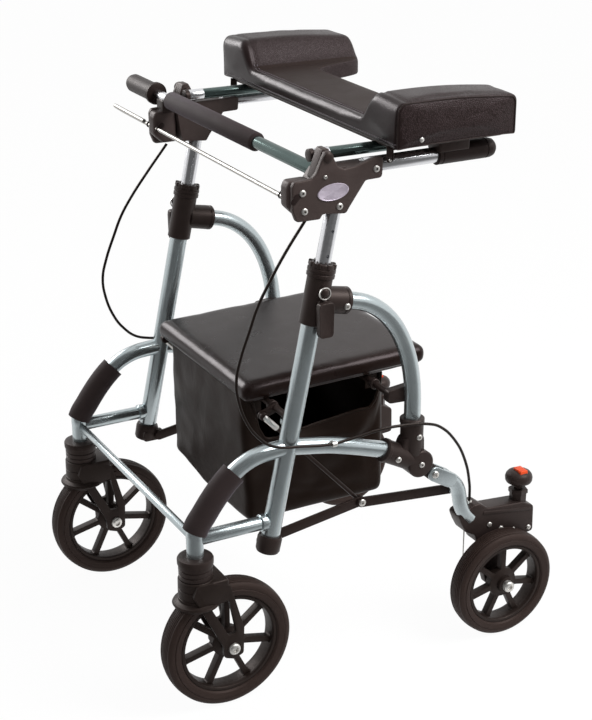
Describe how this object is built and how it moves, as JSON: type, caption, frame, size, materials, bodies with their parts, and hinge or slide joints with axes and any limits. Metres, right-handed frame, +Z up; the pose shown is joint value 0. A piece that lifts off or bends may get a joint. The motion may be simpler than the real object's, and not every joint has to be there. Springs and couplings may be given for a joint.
{
  "type": "wheeled walker",
  "caption": "Four-wheeled walker with a raised forearm pad, push bar, folding seat, bag, swivel castors and braked rear wheels.",
  "frame": {"origin": "centre of the bounding box's base, on the floor", "axes": "+Z up; -Y towards the castors at the front; +X towards the user's left"},
  "size_m": [0.6302, 0.653, 0.8909],
  "materials": {
    "painted_tube": "metallic light blue-grey paint, satin",
    "chromed_steel": "bright drawn tube",
    "teal_tube": "metallic teal paint, satin",
    "black_plastic": "moulded, fine grain",
    "black_rubber": "moulded, matt",
    "tyre_rubber": "solid tyre, matt",
    "foam_sleeve": "closed-cell foam, matt",
    "leatherette": "pebbled, semi-matt",
    "bag_cloth": "coated cloth, matt"
  },
  "bodies": {
    "frame": {"arch_front_left": "painted_tube", "arch_front_right": "painted_tube", "arch_back_left": "painted_tube", "arch_back_right": "painted_tube", "bumper_left": "foam_sleeve", "bumper_right": "foam_sleeve", "main_tube_left": "painted_tube", "main_tube_right": "painted_tube", "rear_arch_left": "painted_tube", "rear_arch_right": "painted_tube", "collar_left": "black_plastic", "collar_right": "black_plastic", "leg_joint_left": "black_plastic", "leg_joint_right": "black_plastic", "cable_upper_left": "black_rubber", "cable_upper_right": "black_rubber", "cable_lower_left": "black_rubber", "cable_lower_right": "black_rubber", "crossbar": "painted_tube"},
    "upper": {"stem_left": "chromed_steel", "stem_right": "chromed_steel", "handle_housing_left": "black_plastic", "handle_housing_right": "black_plastic", "handle_tube_left": "chromed_steel", "handle_tube_right": "chromed_steel", "handle_grip_left": "black_rubber", "handle_grip_right": "black_rubber", "push_bar": "teal_tube", "push_bar_foam": "foam_sleeve"},
    "brake_bar": {"brake_rod": "chromed_steel"},
    "pad": {"arm_pad": "leatherette", "pad_arm_left": "teal_tube", "pad_arm_right": "teal_tube"},
    "seat": {"seat_cushion": "leatherette", "seat_frame": "chromed_steel", "bag": "bag_cloth"},
    "lever_left": {"clamp_lever_left": "black_plastic"},
    "leg_left": {"rear_leg_left": "painted_tube", "brake_housing_left": "black_plastic"},
    "front_strut_left": {"strut_front_left": "black_plastic"},
    "back_strut_left": {"strut_back_left": "black_plastic"},
    "lift_left": {"lift_rod_left": "chromed_steel"},
    "knob_left": {"brake_knob_left": "black_plastic"},
    "castor_left": {"castor_fork_left": "black_plastic"},
    "castor_wheel_left": {"castor_tyre_left": "tyre_rubber", "castor_rim_left": "black_plastic"},
    "rear_wheel_left": {"rear_tyre_left": "tyre_rubber", "rear_rim_left": "black_plastic"},
    "lever_right": {"clamp_lever_right": "black_plastic"},
    "leg_right": {"rear_leg_right": "painted_tube", "brake_housing_right": "black_plastic"},
    "front_strut_right": {"strut_front_right": "black_plastic"},
    "back_strut_right": {"strut_back_right": "black_plastic"},
    "lift_right": {"lift_rod_right": "chromed_steel"},
    "knob_right": {"brake_knob_right": "black_plastic"},
    "castor_right": {"castor_fork_right": "black_plastic"},
    "castor_wheel_right": {"castor_tyre_right": "tyre_rubber", "castor_rim_right": "black_plastic"},
    "rear_wheel_right": {"rear_tyre_right": "tyre_rubber", "rear_rim_right": "black_plastic"}
  },
  "joints": [
    {"name": "height_adjust", "type": "slide", "parent": "frame", "child": "upper", "axis": [0, 0.205, 0.9788], "range_m": [-0.03, 0.1], "deforming": ["cable_upper_left", "cable_upper_right"]},
    {"name": "brake_squeeze", "type": "slide", "parent": "upper", "child": "brake_bar", "axis": [0, 0.6812, 0.7321], "range_m": [0, 0.008], "stiffness_N_per_m": 300},
    {"name": "pad_tilt", "type": "hinge", "parent": "upper", "child": "pad", "pos_m": [0.03735, -0.0715, 0.8087], "axis": [1, 0, 0], "range_deg": [0, 90]},
    {"name": "seat_lift", "type": "hinge", "parent": "frame", "child": "seat", "pos_m": [0.03735, 0.055, 0.4265], "axis": [-1, 0, 0], "range_deg": [0, 26]},
    {"name": "lever_swing_left", "type": "hinge", "parent": "frame", "child": "lever_left", "pos_m": [0.28615, -0.07915, 0.61], "axis": [0, -1, 0], "range_deg": [0, 90]},
    {"name": "leg_fold_left", "type": "hinge", "parent": "frame", "child": "leg_left", "pos_m": [0.25935, 0.1212, 0.2918], "axis": [-1, 0, 0], "range_deg": [0, 45], "deforming": ["cable_lower_left"]},
    {"name": "front_strut_turn_left", "type": "hinge", "parent": "frame", "child": "front_strut_left", "pos_m": [0.23955, -0.1405, 0.2374], "axis": [1, 0, 0], "range_deg": [0, 22.5]},
    {"name": "back_strut_turn_left", "type": "hinge", "parent": "leg_left", "child": "back_strut_left", "pos_m": [0.24385, 0.1697, 0.2456], "axis": [1, 0, 0], "range_deg": [0, 16.5]},
    {"name": "lift_rod_turn_left", "type": "hinge", "parent": "front_strut_left", "child": "lift_left", "pos_m": [0.23325, 0.0093, 0.2604], "axis": [-1, 0, 0], "range_deg": [0, 35]},
    {"name": "brake_knob_turn_left", "type": "hinge", "parent": "leg_left", "child": "knob_left", "pos_m": [0.25235, 0.29, 0.229], "axis": [0, 0, 1], "range_deg": [0, 270]},
    {"name": "castor_swivel_left", "type": "hinge", "parent": "frame", "child": "castor_left", "pos_m": [0.25935, -0.272, 0.217], "axis": [0, 0, 1], "continuous": true},
    {"name": "castor_roll_left", "type": "hinge", "parent": "castor_left", "child": "castor_wheel_left", "pos_m": [0.25935, -0.2265, 0.1], "axis": [1, 0, 0], "continuous": true},
    {"name": "rear_roll_left", "type": "hinge", "parent": "leg_left", "child": "rear_wheel_left", "pos_m": [0.28765, 0.2395, 0.087], "axis": [1, 0, 0], "continuous": true},
    {"name": "lever_swing_right", "type": "hinge", "parent": "frame", "child": "lever_right", "pos_m": [-0.21145, -0.07915, 0.61], "axis": [0, 1, 0], "range_deg": [0, 90]},
    {"name": "leg_fold_right", "type": "hinge", "parent": "frame", "child": "leg_right", "pos_m": [-0.18465, 0.1212, 0.2918], "axis": [-1, 0, 0], "range_deg": [0, 45], "deforming": ["cable_lower_right"]},
    {"name": "front_strut_turn_right", "type": "hinge", "parent": "frame", "child": "front_strut_right", "pos_m": [-0.16485, -0.1405, 0.2374], "axis": [1, 0, 0], "range_deg": [0, 22.5]},
    {"name": "back_strut_turn_right", "type": "hinge", "parent": "leg_right", "child": "back_strut_right", "pos_m": [-0.16915, 0.1697, 0.2456], "axis": [1, 0, 0], "range_deg": [0, 16.5]},
    {"name": "lift_rod_turn_right", "type": "hinge", "parent": "front_strut_right", "child": "lift_right", "pos_m": [-0.15855, 0.0093, 0.2604], "axis": [-1, 0, 0], "range_deg": [0, 35]},
    {"name": "brake_knob_turn_right", "type": "hinge", "parent": "leg_right", "child": "knob_right", "pos_m": [-0.17765, 0.29, 0.229], "axis": [0, 0, 1], "range_deg": [0, 270]},
    {"name": "castor_swivel_right", "type": "hinge", "parent": "frame", "child": "castor_right", "pos_m": [-0.18465, -0.272, 0.217], "axis": [0, 0, 1], "continuous": true},
    {"name": "castor_roll_right", "type": "hinge", "parent": "castor_right", "child": "castor_wheel_right", "pos_m": [-0.18465, -0.2265, 0.1], "axis": [1, 0, 0], "continuous": true},
    {"name": "rear_roll_right", "type": "hinge", "parent": "leg_right", "child": "rear_wheel_right", "pos_m": [-0.21295, 0.2395, 0.087], "axis": [1, 0, 0], "continuous": true}
  ],
  "couplings": [
    {"joint": "leg_fold_right", "follows": "leg_fold_left", "ratio": 1},
    {"joint": "seat_lift", "follows": "leg_fold_left", "ratio": 0.5446},
    {"joint": "front_strut_turn_left", "follows": "leg_fold_left", "ratio": 0.4931},
    {"joint": "back_strut_turn_left", "follows": "leg_fold_left", "ratio": 0.3582},
    {"joint": "lift_rod_turn_left", "follows": "leg_fold_left", "ratio": 0.745},
    {"joint": "front_strut_turn_right", "follows": "leg_fold_left", "ratio": 0.4931},
    {"joint": "back_strut_turn_right", "follows": "leg_fold_left", "ratio": 0.3582},
    {"joint": "lift_rod_turn_right", "follows": "leg_fold_left", "ratio": 0.745}
  ]
}
